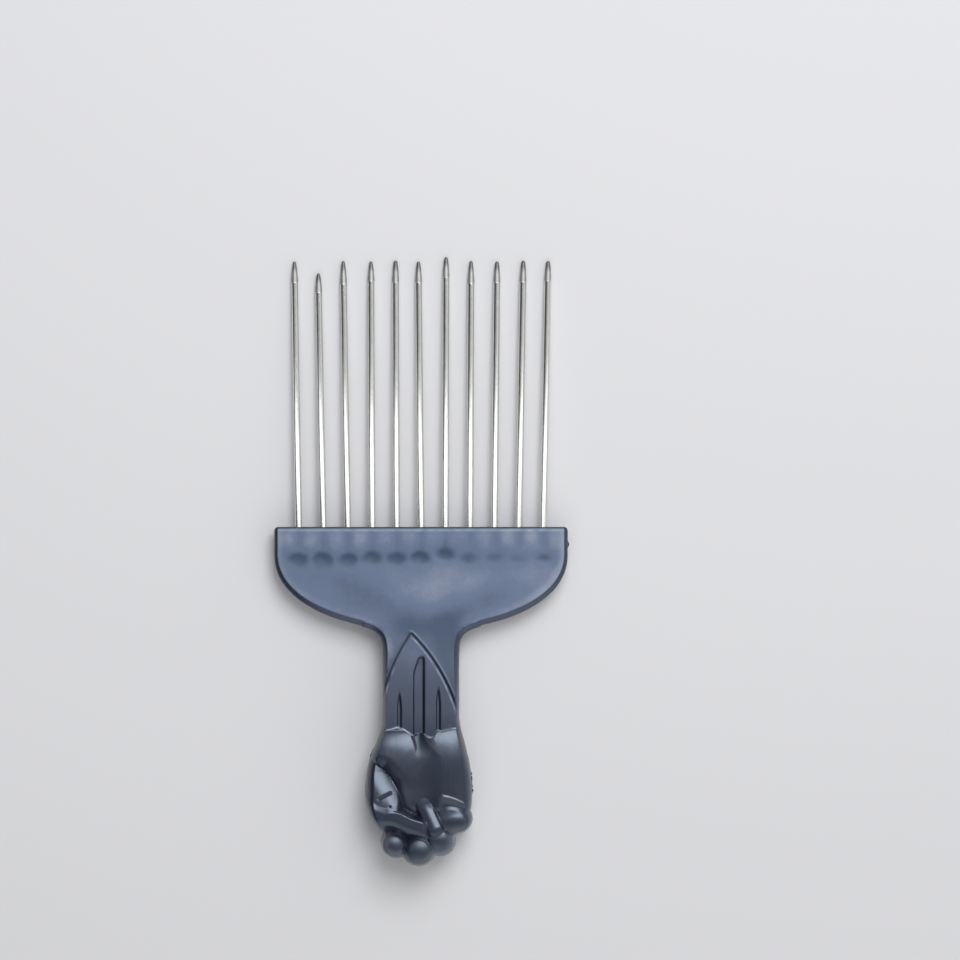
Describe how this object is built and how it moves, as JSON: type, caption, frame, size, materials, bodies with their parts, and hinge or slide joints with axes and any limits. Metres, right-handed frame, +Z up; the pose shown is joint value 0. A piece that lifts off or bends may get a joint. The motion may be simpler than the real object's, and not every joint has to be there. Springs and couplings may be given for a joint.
{
  "type": "afro pick",
  "caption": "Hair pick with long round steel pins in a D-shaped moulded head, on a short grooved arm that ends in a closed fist.",
  "frame": {"origin": "under the middle of the whole pick, on the surface that it lies on, palm side up", "axes": "+X across the pins, +Y towards the pin tips, +Z up out of the palm side"},
  "size_m": [0.085, 0.1764, 0.0184],
  "materials": {
    "handle_plastic": "injection moulded, satin on the head and glossy on the fist",
    "pin_steel": "nickel plated wire with ground points"
  },
  "bodies": {
    "root": {"handle": "handle_plastic", "pin_01": "pin_steel", "pin_02": "pin_steel", "pin_03": "pin_steel", "pin_04": "pin_steel", "pin_05": "pin_steel", "pin_06": "pin_steel", "pin_07": "pin_steel", "pin_08": "pin_steel", "pin_09": "pin_steel", "pin_10": "pin_steel", "pin_11": "pin_steel"}
  },
  "joints": []
}
